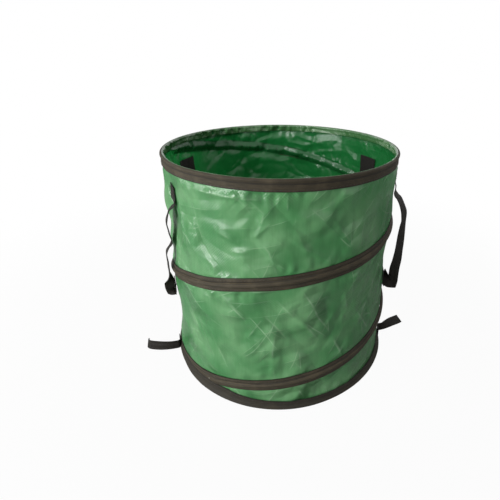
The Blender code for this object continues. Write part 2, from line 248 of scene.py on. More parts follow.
def otherCreases():
    rng = np.random.default_rng(17)
    found = []
    while len(found) < farCreases["count"]:
        angle = rng.uniform(*farCreases["angles"])
        share = rng.uniform(*farCreases["heights"])
        way = rng.uniform(0, math.pi)
        step = rng.uniform(*farCreases["length"]) / 3
        bend = rng.uniform(-0.5, 0.5)
        path = []
        for k in range(4):
            path.append((angle, share))
            angle += math.degrees(step * math.cos(way) / hoop)
            share += step * math.sin(way) / bag["height"]
            way += bend
        depth = rng.choice([1, 1, 1, -1]) * rng.uniform(*farCreases["depth"])
        left, right = (rng.uniform(*farCreases[side]) for side in ("left", "right"))
        found.append((path, depth, left, right))
    return found


allCreases = seenCreases + otherCreases()


def creaseHeight(angle, height):
    # metres outward, from every crease, and how near the line of a crease is, up to 1
    total = np.zeros(np.shape(angle))
    crest = np.zeros(np.shape(angle))
    perDegree = math.radians(1) * hoop
    for path, depth, left, right in allCreases:
        best, side, place = np.full((3, *np.shape(angle)), 9.0)
        steps = len(path) - 1
        for k, (a, b) in enumerate(zip(path, path[1:])):
            du = angleFrom(angle, a[0]) * perDegree
            dv = height - a[1] * bag["height"]
            along = np.array([(b[0] - a[0]) * perDegree, (b[1] - a[1]) * bag["height"]])
            size = float(along @ along)
            t = clamp((du * along[0] + dv * along[1]) / size)
            across = du * along[1] - dv * along[0]
            away = np.hypot(du - t * along[0], dv - t * along[1])
            nearer = away < best
            best = np.where(nearer, away, best)
            side = np.where(nearer, across, side)
            place = np.where(nearer, (k + t) / steps, place)
        width = np.where(side < 0, left, right) / 1000
        fade = np.sin(math.pi * np.clip(place, 0.06, 0.94)) ** 0.6
        total += depth / 1000 * fade * clamp(1 - best / (1.9 * width)) ** 1.3
        crest = np.maximum(crest, fade * np.exp(-(best / cloth["crestWidth"]) ** 2))
    return total, crest


cloth = {
    # undulation and two sizes of facets: form, seed, length, height, how far from a seam it stands in full
    "relief": [(ripple, 3, 0.13, 0.0013, 0.014), (folds, 5, 0.075, 0.0011, 0.014),
               (folds, 29, 0.030, 0.0004, 0.009)],
    "pucker": 0.0011,          # short puckers that run off each seam: height, reach and length
    "puckerReach": 0.006,
    "puckerLength": 0.017,
    "crestWidth": 0.0011,      # of the pale line along a crease: whitened film and painted highlight
    "creaseFade": 0.006,       # how far from a seam the creases stand in full
    "puffFade": 0.012,
    "seamMargin": 0.003,       # so near a seam it rises no higher than seamRise
    "seamRise": 0.0002,
    # where it bellies out: degrees, share of height, spread in degrees and in shares, mm
    "puffs": [(2, 0.905, 34, 0.075, 4.2), (201, 0.795, 7, 0.085, 10.0), (201, 0.63, 6, 0.05, 6.0),
              (236, 0.80, 14, 0.10, 2.2), (250, 0.30, 16, 0.10, 2.0)],
    "ridgeInside": 0.0050,     # how far the coil's pocket pushes in
    "ridgeHalf": 0.0118,
    "ridgeGathers": 0.16,
    "ridgeFade": 0.004,
    "ridgeLow": 0.014,         # below this the base band hides it
    "slack": (344, 14, 0.8),   # where it pushes in less: degrees, spread, share
    "columns": 840,
    "rows": 264,
}


def clothOffset(angle, height):
    # how far the cloth stands out from its smooth shape
    angle, height = np.broadcast_arrays(angle, height)
    points = onRound(angle, hoop, height)
    beside = coilGap(angle, height)
    toSeam = np.minimum.reduce([np.abs(beside) - coil["band"] / 2, bag["height"] - bag["rimBand"] - height,
                                height - bag["baseBand"]])
    total = 0
    for form, seed, length, rise, fade in cloth["relief"]:
        total = total + smoothStep(toSeam / fade) * rise * form(points, seed, length)
    creased, crest = creaseHeight(angle, height)
    total += smoothStep(toSeam / cloth["creaseFade"]) * creased
    for degrees, share, wide, tall, rise in cloth["puffs"]:
        upward = (height / bag["height"] - share) / tall
        puffed = np.exp(-(angleFrom(angle, degrees) / wide) ** 2 - upward ** 2)
        total += smoothStep(toSeam / cloth["puffFade"]) * rise / 1000 * puffed
    away = np.maximum(toSeam, 0) / cloth["puckerReach"]
    strength = np.clip(0.55 + 0.7 * ripple(points, 71, 0.09), 0.05, 1.4)
    puckers = ripple(points * np.array([1, 1, 0.25]), 41, cloth["puckerLength"])
    total += cloth["pucker"] * strength * away * np.exp(1 - away) * puckers
    # nothing may poke out through the tapes
    total = np.where(toSeam < cloth["seamMargin"], np.minimum(total, cloth["seamRise"]), total)
    return total, beside, crest


def tapeDrift(angle, height):
    # tapes follow the broad movement of the cloth that they are sewn to
    return 0.0005 * ripple(onRound(angle, hoop, height), 57, 0.16)


def newObject(name, data):
    piece = bpy.data.objects.new(name, data)
    bpy.context.scene.collection.objects.link(piece)
    return piece


def newMesh(name, points, faces):
    mesh = bpy.data.meshes.new(name)
    mesh.from_pydata(np.reshape(points, (-1, 3)).tolist(), [], faces)
    mesh.shade_smooth()
    return mesh


def outsideOut(mesh):
    # closed shapes made inside out are turned
    shape = bmesh.new()
    shape.from_mesh(mesh)
    if shape.calc_volume(signed=True) < 0:
        mesh.flip_normals()
    shape.free()


def gridOf(first, second):
    return np.meshgrid(first, second, indexing="ij")


def gridPairs(first, second):
    return np.stack(gridOf(first, second), -1)


def gridFaces(along, across, closedAlong=False, closedAcross=False, capped=False):
    i, j = gridOf(np.arange(along - (not closedAlong)), np.arange(across - (not closedAcross)))
    nextI, nextJ = (i + 1) % along, (j + 1) % across
    quads = np.stack([i * across + j, nextI * across + j, nextI * across + nextJ, i * across + nextJ], -1)
    caps = [list(range(across))[::-1], [(along - 1) * across + k for k in range(across)]] if capped else []
    return i, j, quads.reshape(-1, 4).tolist() + caps


def addCorners(mesh, name, corners, rest, count):
    # one layer of corner values; the caps' corners all get the same value
    corners = np.concatenate([corners.reshape(-1, 2), np.tile(rest, (count, 1))])
    mesh.uv_layers.new(name=name).data.foreach_set("uv", corners.astype(np.float32).ravel())


def gridPiece(name, points, uvs=None, wear=None, closedAlong=False, closedAcross=False, capped=False,
              plugged=False):
    # points: (along, across, 3); uvs: the same grid, one more where it is closed; painted shade: (edge,
    # groove) across, how dark the edges and grooves are painted
    # plugged: one face closes the hole at the last row across
    along, across = points.shape[:2]
    i, j, faces = gridFaces(along, across, closedAlong, closedAcross, capped)
    more = 2 * across if capped else 0
    if plugged:
        faces.append([k * across + across - 1 for k in range(along)])
        more = along
    mesh = newMesh(name, points, faces)
    if uvs is not None:
        corners = np.stack([uvs[i, j], uvs[i + 1, j], uvs[i + 1, j + 1], uvs[i, j + 1]], 2)
        addCorners(mesh, "cloth", corners, uvs[0, 0] if capped else (0.0, 0.0), more)
    if wear is not None:
        nextJ = (j + 1) % across
        addCorners(mesh, "wear", np.stack([wear[j], wear[j], wear[nextJ], wear[nextJ]], 2), (1.0, 0.0), more)
    mesh.validate()
    if closedAcross:
        outsideOut(mesh)
    return newObject(name, mesh)


def runOf(points):
    # length along each line of a grid's first direction
    steps = np.linalg.norm(np.diff(points, axis=0), axis=-1)
    return np.concatenate([np.zeros((1,) + steps.shape[1:]), np.cumsum(steps, axis=0)])


def unit(vectors):
    return vectors / np.linalg.norm(vectors, axis=-1, keepdims=True)


def ring(count):
    return np.arange(count) / count * fullTurn


def drift(points, seed, length, amount):
    return (amount * ripple(points, seed, length))[:, None]


def hoopPiece(name, angles, radii, heights, wear=None):
    # radii and heights: (angles, outline), each outline a closed loop, all the way round
    radii, heights = np.broadcast_arrays(radii, heights)
    edge = np.hypot(*(np.diff(row[0], append=row[0][:1]) for row in (radii, heights)))
    uvs = gridPairs(np.append(angles, angles[0] + fullTurn) * hoop, np.append(0, np.cumsum(edge)))
    points = onRound(angles[:, None], radii, heights)
    return gridPiece(name, points, uvs, wear, closedAlong=True, closedAcross=True)


def slabPiece(name, front, back, run, reach, wear=None):
    # a closed slab between two grids of points
    uvs = gridPairs(run, np.concatenate([reach, reach[::-1], reach[:1]]))
    if wear is not None:
        wear = np.concatenate([wear, wear[::-1]])
    grid = np.concatenate([front, back[:, ::-1]], 1)
    return gridPiece(name, grid, uvs, wear, closedAcross=True, capped=True)


def hexColour(text):
    # sRGB hex to linear
    values = []
    for k in (1, 3, 5):
        c = int(text[k:k + 2], 16) / 255
        values.append(c / 12.92 if c <= 0.04045 else ((c + 0.055) / 1.055) ** 2.4)
    return (*values, 1.0)


def setInputs(node, inputs):
    # a socket is linked, a hex colour is turned linear, anything else is set as it is
    for name, value in inputs.items():
        if isinstance(value, bpy.types.NodeSocket):
            node.id_data.links.new(value, node.inputs[name])
        else:
            node.inputs[name].default_value = hexColour(value) if isinstance(value, str) else value


def addNode(tree, kind, inputs=None, **settings):
    node = tree.nodes.new("ShaderNode" + kind)
    for name, value in settings.items():
        setattr(node, name, value)
    setInputs(node, inputs or {})
    return node


def newMaterial(name, recipe, *values):
    # the recipe fills the tree and gives what the shader's sockets get
    material = bpy.data.materials.new(name)
    material.use_nodes = True
    tree = material.node_tree
    setInputs(tree.nodes["Principled BSDF"], recipe(tree, *values))
    return material


def mixIn(tree, share, other):
    # a share of another shader beside the main one
    shaders = {0: share, 1: tree.nodes["Principled BSDF"].outputs[0], 2: other.outputs[0]}
    setInputs(tree.nodes["Material Output"], {"Surface": addNode(tree, "MixShader", shaders).outputs[0]})


def mathOf(operation, *values):
    tree = next(value.id_data for value in values if isinstance(value, bpy.types.NodeSocket))
    return addNode(tree, "Math", dict(enumerate(values)), operation=operation).outputs[0]


def times(a, b):
    return mathOf("MULTIPLY", a, b)


def waveOf(place, turns):
    return mathOf("SINE", times(place, turns))


def rangeOf(value, low, high, toLow=0.0, toHigh=1.0):
    limits = {"Value": value, "From Min": low, "From Max": high, "To Min": toLow, "To Max": toHigh}
    return addNode(value.id_data, "MapRange", limits, interpolation_type="SMOOTHSTEP").outputs[0]


def noiseOf(place, scale, detail, output="Fac"):
    inputs = {"Vector": place, "Scale": scale, "Detail": detail}
    return addNode(place.id_data, "TexNoise", inputs).outputs[output]


def mixOf(share, first, second):
    return addNode(share.id_data, "Mix", {0: share, 6: first, 7: second}, data_type="RGBA").outputs[2]


def bumpOf(height, distance, strength=1.0):
    inputs = {"Height": height, "Distance": distance, "Strength": strength}
    return addNode(height.id_data, "Bump", inputs).outputs[0]


def stretchOf(place, scale):
    return addNode(place.id_data, "VectorMath", {0: place, 1: scale}, operation="MULTIPLY").outputs[0]


def layerOf(tree, name):
    # a layer of corner values, whole and split
    layer = addNode(tree, "UVMap", uv_map=name).outputs["UV"]
    parts = addNode(tree, "SeparateXYZ", {0: layer}).outputs
    return layer, parts["X"], parts["Y"]


# woven polyethylene with a film melted on: flat tapes under a glossy skin that creases like foil and lets
# light through
laminate = {
    # deeper green of the inner face: painted shade for the inside of the bag
    "inner": "#1f6b36",
    # pale lines along the creases: partly whitened film, partly painted highlight
    "whiteningAndHighlight": "#a9cba6",
    "through": "#1c8a3e",
    "roughness": (0.30, 0.44),
    "coat": (0.5, 0.11),       # weight and roughness of the film's shine
    "threads": 280,            # pairs of tapes round the bag, each tape 2.5 mm wide
    "streaks": (330.0, 330.0, 38.0),
    "sway": 0.022,
    "slope": 0.13,
    "facets": [(0.078, 4, 8.0), (0.034, 5, 15.0)],     # width in metres, directions, scale of their patches
    "weave": 0.00015,
    # how strongly the pale crease lines show: whitened film and painted highlight
    "whiteningAndHighlightShare": 0.5,
}


def facetsOf(place, bent):
    # waves with straight sides in many directions, each only here and there: their relief and crest lines
    rng = np.random.default_rng(8)
    relief, line = [], []
    for width, count, scale in laminate["facets"]:
        masks = addNode(place.id_data, "SeparateXYZ", {0: noiseOf(place, scale, 1.0, "Color")}).outputs
        for k in range(count):
            way = rng.normal(size=3) * np.array([1.0, 1.0, 0.8])
            way /= np.linalg.norm(way) * width * rng.uniform(0.75, 1.35)
            phase = addNode(place.id_data, "VectorMath", {0: bent, 1: tuple(way)}, operation="DOT_PRODUCT")
            side = mathOf("PINGPONG", mathOf("ADD", phase.outputs["Value"], float(rng.uniform(0, 1))), 0.5)
            low = 0.44 + 0.03 * k
            mask = rangeOf(masks["XYZ"[k % 3]], low, low + 0.14)
            relief.append(times(times(side, mask), width * laminate["slope"]))
            # crest lines, for the pale line that is partly painted highlight
            line.append(times(rangeOf(side, 0.480, 0.497), mask))
    return reduce(partial(mathOf, "ADD"), relief), reduce(partial(mathOf, "MAXIMUM"), line)


def laminatedCloth(tree, deep, pale, throughShare=None):
    around, up = layerOf(tree, "cloth")[1:]
    # rolled back into a tube, so that the creases join up round the bag
    angle = mathOf("DIVIDE", around, hoop)
    x, y = (times(mathOf(way, angle), hoop) for way in ("COSINE", "SINE"))
    place = addNode(tree, "CombineXYZ", {"X": x, "Y": y, "Z": up}).outputs[0]
    weave = times(waveOf(angle, float(laminate["threads"])), waveOf(up, laminate["threads"] / hoop))
    # broad patches of paler and deeper green, streaked along the tapes
    ground = mixOf(rangeOf(noiseOf(place, 14.0, 3.0), 0.32, 0.68), deep, pale)
    tone = rangeOf(noiseOf(stretchOf(place, laminate["streaks"]), 1.0, 2.0), 0.25, 0.75, 0.94, 1.06)
    ground = addNode(tree, "HueSaturation", {"Color": ground, "Value": tone}).outputs[0]
    sway = {0: noiseOf(place, 9.0, 1.0, "Color"), 1: (laminate["sway"],) * 3, 2: place}
    bent = addNode(tree, "VectorMath", sway, operation="MULTIPLY_ADD").outputs[0]
    relief, line = facetsOf(place, bent)
    # small dents of the film, its grain and the weave under it
    grain = noiseOf(place, 260.0, 2.0)
    for height, depth in ((noiseOf(place, 60.0, 1.0), 0.0003), (grain, 0.00008), (weave, laminate["weave"])):
        relief = mathOf("MULTIPLY_ADD", height, depth, relief)
    bump = bumpOf(relief, 1.0)
    # the film whitens where it was folded hard, and the pale line also stands in for the creases' glints:
    # partly painted highlight
    line = mathOf("MAXIMUM", line, addNode(tree, "Attribute", attribute_name="crease").outputs["Fac"])
    patchy = rangeOf(noiseOf(place, 30.0, 3.0), 0.42, 0.62)
    outer = mixOf(times(times(line, patchy), laminate["whiteningAndHighlightShare"]), ground, laminate["whiteningAndHighlight"])
    # the inner face gets a deeper green: painted shade for the inside of the bag
    colour = mixOf(addNode(tree, "NewGeometry").outputs["Backfacing"], outer, laminate["inner"])
    if throughShare:
        through = addNode(tree, "BsdfTranslucent", {"Color": laminate["through"], "Normal": bump})
        mixIn(tree, throughShare, through)
    roughness = rangeOf(grain, 0.3, 0.7, *laminate["roughness"])
    return {"Base Color": colour, "Roughness": roughness, "Normal": bump,
            "Coat Normal": bump, "Coat Weight": laminate["coat"][0], "Coat Roughness": laminate["coat"][1],
            "IOR": 1.5, "Specular IOR Level": 0.4}


# binding tape of polypropylene yarn: fine ribs along it, dull, rubbed pale on its high places, with painted
# shade darkening its edges and grooves
bindingTape = {
    "thread": "#433a28",
    "valley": "#211d12",
    # painted shade at the edges and in the grooves
    "edge": "#0a0a05",
    "dust": "#5a513f",
    "ribPitch": 0.0017,        # real ribs are 1 mm; drawn coarser so that they show
    "roughness": 0.72,
}


def ribbedTape(tree):
    uv, along, across = layerOf(tree, "cloth")
    edge, groove = layerOf(tree, "wear")[1:]
    turns = fullTurn / bindingTape["ribPitch"]
    ribs, picks = waveOf(across, turns), waveOf(along, turns * 0.8)
    fibres = noiseOf(stretchOf(uv, (60.0, 900.0, 1.0)), 1.0, 3.0)
    shade = rangeOf(mathOf("MULTIPLY_ADD", ribs, 0.16, fibres), 0.25, 0.80)
    ground = mixOf(shade, bindingTape["valley"], bindingTape["thread"])
    patchy = mixOf(rangeOf(noiseOf(uv, 26.0, 3.0), 0.48, 0.75, 0.0, 0.45), ground, bindingTape["dust"])
    # painted shade: darker at the edges and in the grooves
    dark = mathOf("MAXIMUM", rangeOf(edge, 0.35, 0.95, 0.0, 0.85), rangeOf(groove, 0.2, 0.95, 0.0, 0.7))
    relief = mathOf("MULTIPLY_ADD", fibres, 1.8, mathOf("MULTIPLY_ADD", picks, 0.5, ribs))
    return {"Base Color": mixOf(dark, patchy, bindingTape["edge"]), "Normal": bumpOf(relief, 0.00015, 0.8),
            "Roughness": bindingTape["roughness"], "Specular IOR Level": 0.4}


# flat webbing of black polypropylene yarn: a herringbone of fine ribs, waxy, olive-brown in the middle, with
# painted shade dark at its edges
webbing = {
    "thread": "#1f1a12",
    "valley": "#0b0905",
    # painted shade at the edges
    "edge": "#060503",
    "ribPitch": 0.0022,        # a real rib is 1.2 mm; drawn coarser so that it shows
    "herringbone": 0.005,
    "roughness": 0.55,
}


def wovenWebbing(tree):
    uv, along, across = layerOf(tree, "cloth")
    edge = layerOf(tree, "wear")[1]
    turns = fullTurn / webbing["ribPitch"]
    folded = mathOf("PINGPONG", across, webbing["herringbone"])
    ribs = waveOf(mathOf("MULTIPLY_ADD", folded, 0.9, along), turns)
    rows = waveOf(across, turns * 1.3)
    shade = mathOf("MULTIPLY_ADD", ribs, 0.22, mathOf("MULTIPLY_ADD", rows, 0.1, noiseOf(uv, 90.0, 3.0)))
    ground = mixOf(rangeOf(shade, 0.15, 0.95), webbing["valley"], webbing["thread"])
    # painted shade darkens the edges
    return {"Base Color": mixOf(rangeOf(edge, 0.4, 1.0, 0.0, 0.8), ground, webbing["edge"]),
            "Normal": bumpOf(mathOf("MULTIPLY_ADD", rows, 0.5, ribs), 0.0002, 0.8),
            "Roughness": webbing["roughness"], "Specular IOR Level": 0.3}


def hookPile(tree):
    # hook and loop nylon: a felt of tiny loops that swallows light
    uv = layerOf(tree, "cloth")[0]
    loops = addNode(tree, "TexVoronoi", {"Vector": uv, "Scale": 900.0}).outputs["Distance"]
    tufts = noiseOf(uv, 220.0, 3.0)
    return {"Base Color": mixOf(tufts, "#080605", "#1a130f"), "Roughness": 0.95,
            "Normal": bumpOf(mathOf("ADD", loops, tufts), 0.0006)}


def drawnSteel(tree, light, dark, roughness, scale):
    # drawn wire and plated crimps: bright metal with dull spots
    spots = noiseOf(addNode(tree, "TexCoord").outputs["Object"], scale, 4.0)
    return {"Base Color": mixOf(spots, dark, light), "Normal": bumpOf(spots, 0.0001, 0.3), "Metallic": 1.0,
            "Roughness": rangeOf(spots, 0.0, 1.0, roughness - 0.08, roughness + 0.12)}


def twistedThread(tree):
    # bonded polyester sewing thread: two plies twisted, a little shiny
    place = addNode(tree, "TexCoord").outputs["Object"]
    waves = addNode(tree, "TexWave", {"Vector": place, "Scale": 700.0}, bands_direction="DIAGONAL")
    plies = waves.outputs["Fac"]
    return {"Base Color": mixOf(plies, "#15110e", "#3b322b"), "Roughness": 0.5}


# one for each CAD slot
materials = {
    "cloth": newMaterial("laminated woven polyethylene", laminatedCloth, "#44844d", "#6a9e6b", 0.18),
    "binding_tape": newMaterial("ribbed polypropylene tape", ribbedTape),
    "webbing": newMaterial("woven polypropylene webbing", wovenWebbing),
    "hook_and_loop": newMaterial("hook and loop nylon pile", hookPile),
    "spring_wire": newMaterial("drawn spring steel", drawnSteel, "#c9c8c4", "#8f8e8a", 0.32, 400.0),
    "crimp": newMaterial("zinc plated crimped steel", drawnSteel, "#d4d3cd", "#a3a29b", 0.42, 900.0),
}
# the same cloth in deeper greens and with no light through it; the deeper greens are painted shade for the hem
shadedHemMaterial = newMaterial("laminated woven polyethylene, turned over", laminatedCloth, "#3f6f3f", "#557f52")
threadMaterial = newMaterial("bonded polyester thread", twistedThread)
print("materials made")


def carried(piece, body, fold=None):
    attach(piece, body)
    if fold:
        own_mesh(piece)


# where faces meet at more than this many degrees, the shading breaks
sharpFolds = {"binding_tape": 60, "webbing": 50, "hook_and_loop": 50}


def placed(piece, node, slotName, body=None, fold=None, sharp=None, material=None):
    # what carries it, what it is made of and the CAD node that it stands for
    if body:
        carried(piece, body, fold)
    piece.data.materials.append(material or materials[slotName])
    sharp = sharp or sharpFolds.get(slotName)
    if sharp:
        piece.data.set_sharp_from_angle(angle=math.radians(sharp))
    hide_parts(node)


def buildWall():
    angles = ring(cloth["columns"])
    heights = np.linspace(bag["wallLow"], bag["wallHigh"], cloth["rows"])
    angle, height = gridOf(angles, heights)
    offset, beside, crest = clothOffset(angle, height)
    # the wire's pocket pushes the cloth in along the coil, gathered by its stitches
    inside = clamp(1 - np.abs(beside) / cloth["ridgeHalf"])
    ridge = np.sin(inside * math.pi / 2) ** 1.6
    waves = ripple(onRound(angle, hoop, height) * np.array([1, 1, 0.2]), 91, 0.012)
    gathers = 1 + cloth["ridgeGathers"] * waves
    fade = cloth["ridgeFade"]
    belowRim = bag["height"] - bag["rimBand"] + fade - height
    covered = smoothStep(belowRim / fade) * smoothStep((height - cloth["ridgeLow"]) / fade)
    degrees, spread, share = cloth["slack"]
    slack = 1 - share * np.exp(-(angleFrom(angle, degrees) / spread) ** 2)
    offset = offset - cloth["ridgeInside"] * ridge * gathers * covered * slack
    uvs = gridPairs(np.append(angles, fullTurn) * hoop, heights)
    points = onRound(angle, hoop - waist(angle, height) + offset, height)
    wall = gridPiece("wallCloth", points, uvs, closedAlong=True)
    # nearness to a crease's line, for the pale line that is partly painted highlight
    creased = wall.data.attributes.new("crease", "FLOAT", "POINT")
    creased.data.foreach_set("value", crest.astype(np.float32).ravel())
    placed(wall, "side_wall", "cloth", "base", "wall")
    print("side wall made:", len(wall.data.polygons), "faces")


buildWall()


rim = {
    "columns": 288,
    "tapeLeg": 0.0162,
    "tapeTop": 82,             # degrees round the hoop where the tape ends and the hem begins
    "hemColumns": 620,
    "hemLeg": 0.0117,
    "hemEnd": 84,
    "gatherSize": 0.0136,
    "gather": 0.0019,
    "hemStands": 0.0011,       # how far the hem stands out, taken over its gathers
    "hemRound": 0.003,         # how far up the hem its gathers reach above the wire
}


def arcPoints(reach, first, last, steps):
    angle = np.radians(np.linspace(first, last, steps))
    return np.stack([reach * np.cos(angle), reach * np.sin(angle)], -1)


def foldedLoop(leg, last, thick, steps=9):
    # a leg beside the cloth, then round the wire's pocket; x is away from the cloth's middle
    inner = bag["pocket"]
    outer = inner + thick
    close = bag["outside"]
    up = [(close + thick, -leg + thick * 0.3), (close + thick, -leg * 0.92), (close + thick, -leg * 0.72),
          (close + thick * 1.05, -leg * 0.45), (close + thick, -outer * 1.35)]
    down = [(close, -inner * 1.35), (close, -leg * 0.45), (close, -leg * 0.72), (close, -leg)]
    low = -28
    over = arcPoints(outer, low, last, steps)
    under = arcPoints(inner, low, last, steps)[::-1]
    tip = arcPoints((outer + inner) / 2, last + 5, last + 5, 1)
    foot = [(close + thick * 0.7, -leg - thick * 0.1)]
    return np.concatenate([up, over, tip, under, down, foot]).T


def loopPaintedShade(along, leg):
    # painted shade: dark along the cut edge and in the fold below the wire
    edge = clamp((-along / leg - 0.86) / 0.12)
    groove = np.exp(-((along + bag["pocket"] * 1.75) / 0.0012) ** 2)
    return np.stack([edge, groove], -1)


def buildRim():
    angles = ring(rim["columns"])
    points = onRound(angles, hoop, rimWireHeight)
    out, up = foldedLoop(rim["tapeLeg"], rim["tapeTop"], bag["tape"])
    lower = clamp(-up / rim["tapeLeg"])
    radii = hoop + out + lower * drift(points, 63, 0.03, 0.00035)
    heights = rimWireHeight + up + lower * drift(points, 61, 0.20, 0.0006)
    tape = hoopPiece("rimTape", angles, radii, heights, loopPaintedShade(up, rim["tapeLeg"]))
    placed(tape, "rim_binding", "binding_tape", "rim")

    # the hem: the same cloth rolled over the hoop, gathered where its stitches draw it in
    angles = ring(rim["hemColumns"])
    points = onRound(angles, hoop, 0.43)
    leg = rim["hemLeg"]
    out, up = foldedLoop(leg, rim["hemEnd"], bag["tape"] * 1.1, steps=11)[:, ::-1]
    strength = np.clip(0.65 + 0.5 * ripple(points, 85, 0.12), 0.1, 1.2)
    gather = ripple(points, 83, rim["gatherSize"], 6) * strength
    bulge = np.sin(math.pi * clamp((up + leg) / (leg + rim["hemRound"]))) ** 0.8
    outer = (out > bag["outside"] + 0.0004) | (up > 0)
    lower = clamp(-up / leg)
    stands = out + outer * bulge * (rim["hemStands"] + rim["gather"] * gather[:, None])
    radii = hoop - stands - lower * waist(angles, rimWireHeight - leg)[:, None]
    heights = rimWireHeight + up + lower * drift(points, 87, 0.03, 0.0006)
    hem = hoopPiece("rimHemCloth", angles, radii, heights)
    placed(hem, "rim_hem", "cloth", "rim", sharp=sharpFolds["binding_tape"], material=shadedHemMaterial)


buildRim()
print("rim made")


base = {
    "columns": 288,
    "tapeLeg": 0.0127,
    "seamLeg": 0.008,
    "seamLow": 0.0018,
    "bandDarkening": 0.74,              # the whole band is darker than the others
    "panelRadius": 0.2198,
    "panelGrid": (240, 60),
    "panelLow": 0.0006,        # underside of the panel's folds
    "panelLift": 0.0011,       # mean height above that, and the height of facets and undulation
    "panelFacets": 0.0010,
    "panelSway": 0.0007,
    "panelMost": 0.004,
    "panelEdge": 0.03,         # how far from its seam it lifts in full
    # the band is pulled about by the wall: degrees, how far its foot stands out and how high it reaches in mm
    "band": [(0, 2.2, 15.5), (20, 2.0, 15.5), (60, 1.5, 16.2), (90, 0.6, 15.2), (120, 1.5, 15.6),
             (150, 0.8, 16.4), (170, 2.5, 16.0), (185, 3.4, 16.6), (212, 3.4, 17.4), (220, 5.6, 17.4),
             (230, 7.0, 17.6), (243, 7.1, 19.2), (251, 7.5, 16.2), (257, 7.6, 14.6), (263, 7.5, 13.4),
             (275, 7.0, 13.0), (285, 6.0, 14.0), (294, 4.8, 15.2), (305, 4.6, 15.8), (320, 5.6, 16.0),
             (330, 6.0, 16.0), (338, 6.2, 16.0), (347, 5.0, 15.6), (353, 3.2, 15.5)],
}


def bandShape(angle):
    # (how far the base band's foot stands out, how high it reaches), in metres
    degrees, flare, top = (np.array(row, float) for row in zip(*base["band"]))
    around = np.mod(np.degrees(angle), 360)
    return [np.interp(around, degrees, row, period=360) / 1000 for row in (flare, top)]


def flareShare(height, top):
    return clamp(1 - height / top) ** 1.2


def bandFace(angle, height):
    flare, top = bandShape(angle)
    return tapeFace + flare * flareShare(height, top)


def buildBase():
    angles = ring(base["columns"])
    points = onRound(angles, hoop, baseWireHeight)
    out, up = foldedLoop(base["tapeLeg"], 100, bag["tape"])[:, ::-1]
    flare, top = (row[:, None] for row in bandShape(angles))
    lower = clamp(-up / base["tapeLeg"])
    stretch = np.where(up < 0, (top - baseWireHeight) / base["tapeLeg"], 1.0)
    heights = baseWireHeight - up * stretch + lower * drift(points, 65, 0.05, 0.0004)
    leans = clamp(out / (bag["pocket"] + bag["tape"])) * flareShare(heights, top)
    # painted shade along the cut edge and below the wire, and the whole band darker
    shadeAndDarkening = loopPaintedShade(up, base["tapeLeg"])
    shadeAndDarkening[:, 0] = np.maximum(shadeAndDarkening[:, 0], base["bandDarkening"])
    radii = hoop + out + lower * drift(points, 67, 0.03, 0.0003) + flare * leans
    tape = hoopPiece("baseTape", angles, radii, heights, shadeAndDarkening)
    placed(tape, "base_binding", "binding_tape", "base")

    # tape over the seam inside
    thick, low = bag["tape"], base["seamLow"]
    foot = hoop - bag["pocket"] - thick
    seamTop = baseWireHeight + bag["pocket"] + thick + base["seamLeg"]
    wallInside = hoop - bag["outside"]
    face = np.array([(wallInside, seamTop), (wallInside - 0.0001, seamTop - 0.004),
                     (wallInside - 0.0006, 0.0075), (foot + thick, 0.0052),
                     (foot + thick * 0.8, 0.0032), (foot + thick * 0.2, low), (foot - 0.004, low),
                     (foot - base["seamLeg"], low)])
    out, up = np.concatenate([face, face[::-1] + np.array([-thick * 0.75, thick * 0.65])])[::-1].T
    radii = out - waist(angles, seamTop)[:, None] * clamp((up - 0.004) / (seamTop - 0.004))
    seam = hoopPiece("baseSeamTape", angles, radii, up, np.zeros((len(up), 2)))
    placed(seam, "base_seam_tape", "binding_tape", "base")

    # bottom panel: a disc of the cloth, lying on the ground and lifted here and there by its creases
    columns, rows = base["panelGrid"]
    radii = base["panelRadius"] * np.linspace(0.004, 1, rows)
    angle, radius = gridOf(ring(columns), radii)
    flat = onRound(angle, radius, 0.0)
    facets = base["panelFacets"] * folds(flat + np.array([0, 0, 0.3]), 131, 0.07)
    lift = base["panelLift"] + facets + base["panelSway"] * ripple(flat, 133, 0.15)
    free = smoothStep((base["panelRadius"] - radius) / base["panelEdge"])
    flat[..., 2] = base["panelLow"] + np.clip(lift, 0.0, base["panelMost"]) * free
    turn = np.append(ring(columns), fullTurn)[:, None]
    uvs = np.stack([np.cos(turn) * radii, np.sin(turn) * radii], -1)[:, ::-1]
    panel = gridPiece("basePanelCloth", flat[:, ::-1], uvs, closedAlong=True, plugged=True)
    placed(panel, "base_panel", "cloth", "base")


buildBase()
print("base made")


def coilSurface(turned, across):
    # a point of the coil tape's outer face, across from its middle line; the two bands cut it off
    angle = math.pi - turned
    half = coil["band"] / 2
    narrow = 1 - coil["narrowing"] * smoothStep((turned - coil["narrowFrom"]) / coil["narrowOver"])
    z = coilHeight(turned) + across * narrow
    z = np.maximum(z, bandShape(angle)[1] + bag["clearance"] + (across + half) * coil["squeeze"])
    z = np.minimum(z, bag["height"] - bag["rimBand"] - bag["clearance"] - (half - across) * coil["squeeze"])
    hill = clamp(1 - (np.abs(across) / coil["ridgeHalf"]) ** 2)
    shoulder = np.exp(-((np.abs(across) - coil["ridgeHalf"] * 1.12) / 0.0009) ** 2)
    early, fade = coil["ridgeBeyond"], coil["ridgeFade"]
    full = smoothStep((coil["wireLast"] + early - turned) / fade)
    full = full * smoothStep((turned - coil["wireFirst"] + early) / fade)
    lift = (coil["ridgeHeight"] * hill ** 0.75 - coil["shoulder"] * shoulder) * full
    return angle, tapeFace - waist(angle, z) + lift + tapeDrift(angle, z), z


